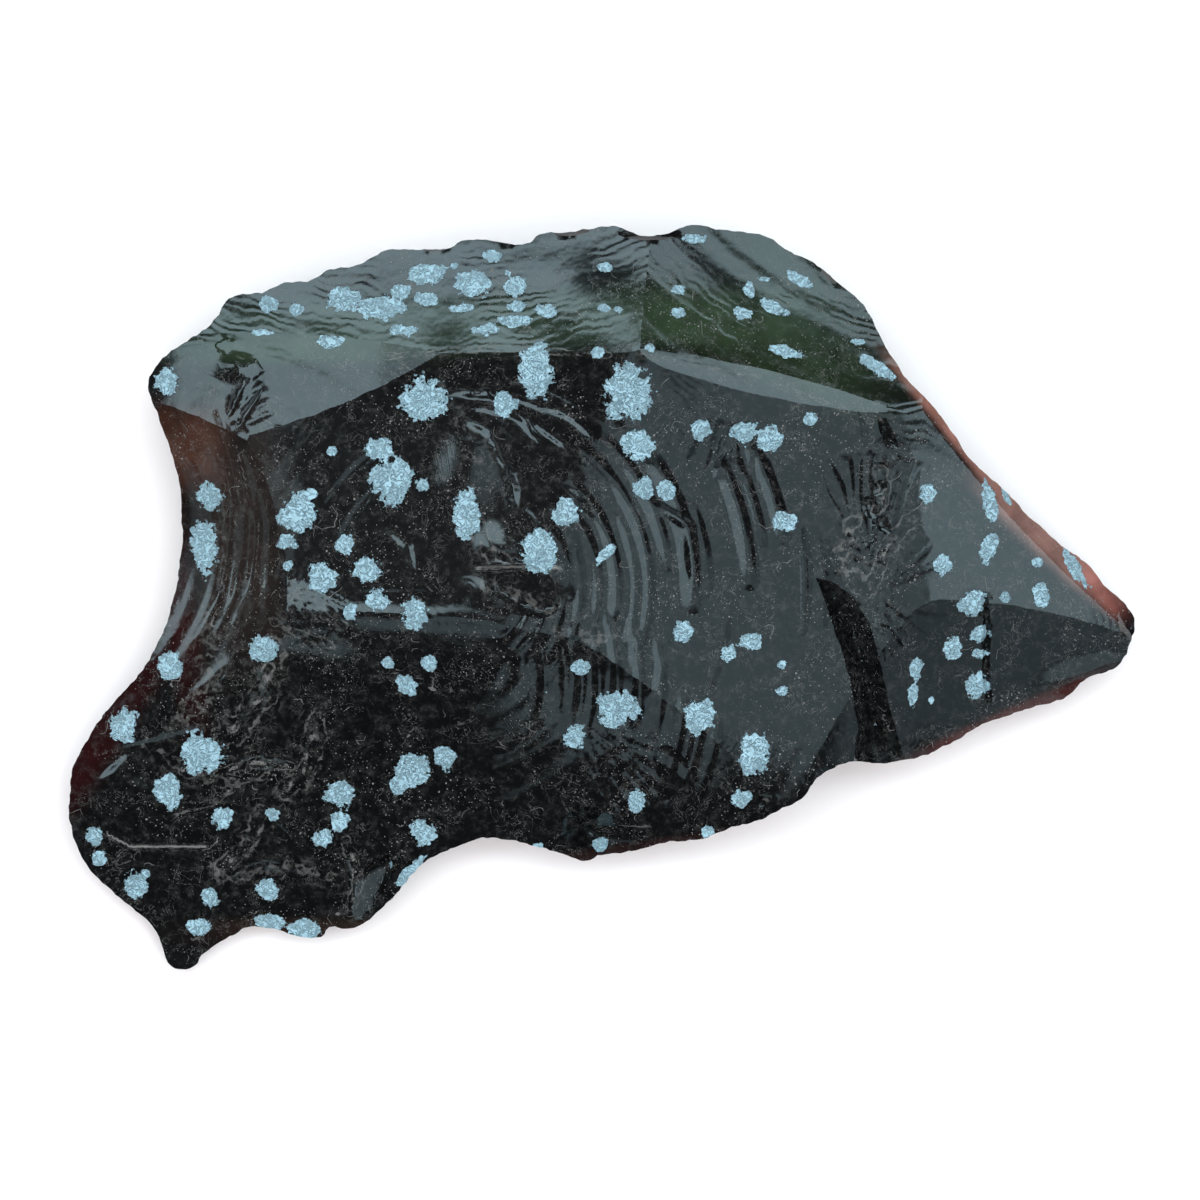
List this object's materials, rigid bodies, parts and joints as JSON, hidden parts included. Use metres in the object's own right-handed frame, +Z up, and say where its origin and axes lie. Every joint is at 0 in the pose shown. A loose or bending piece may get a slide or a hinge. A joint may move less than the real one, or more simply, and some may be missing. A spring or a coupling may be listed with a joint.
{
  "type": "obsidian chunk",
  "caption": "Lump of black volcanic glass with keen edges, shell-like broken faces and pale snowflake crystals, lying on a flat face.",
  "frame": {"origin": "on the surface the chunk rests on, below the middle of its outline", "axes": "+X along the longest side towards the pointed tip, +Y towards the straight back rim, +Z up through the thinnest way"},
  "size_m": [0.08, 0.0556, 0.016],
  "materials": {
    "obsidian": "polished natural break, black with pale blue-grey snowflakes, red-brown where thin"
  },
  "bodies": {
    "root": {"obsidian_chunk": "obsidian"}
  },
  "joints": []
}
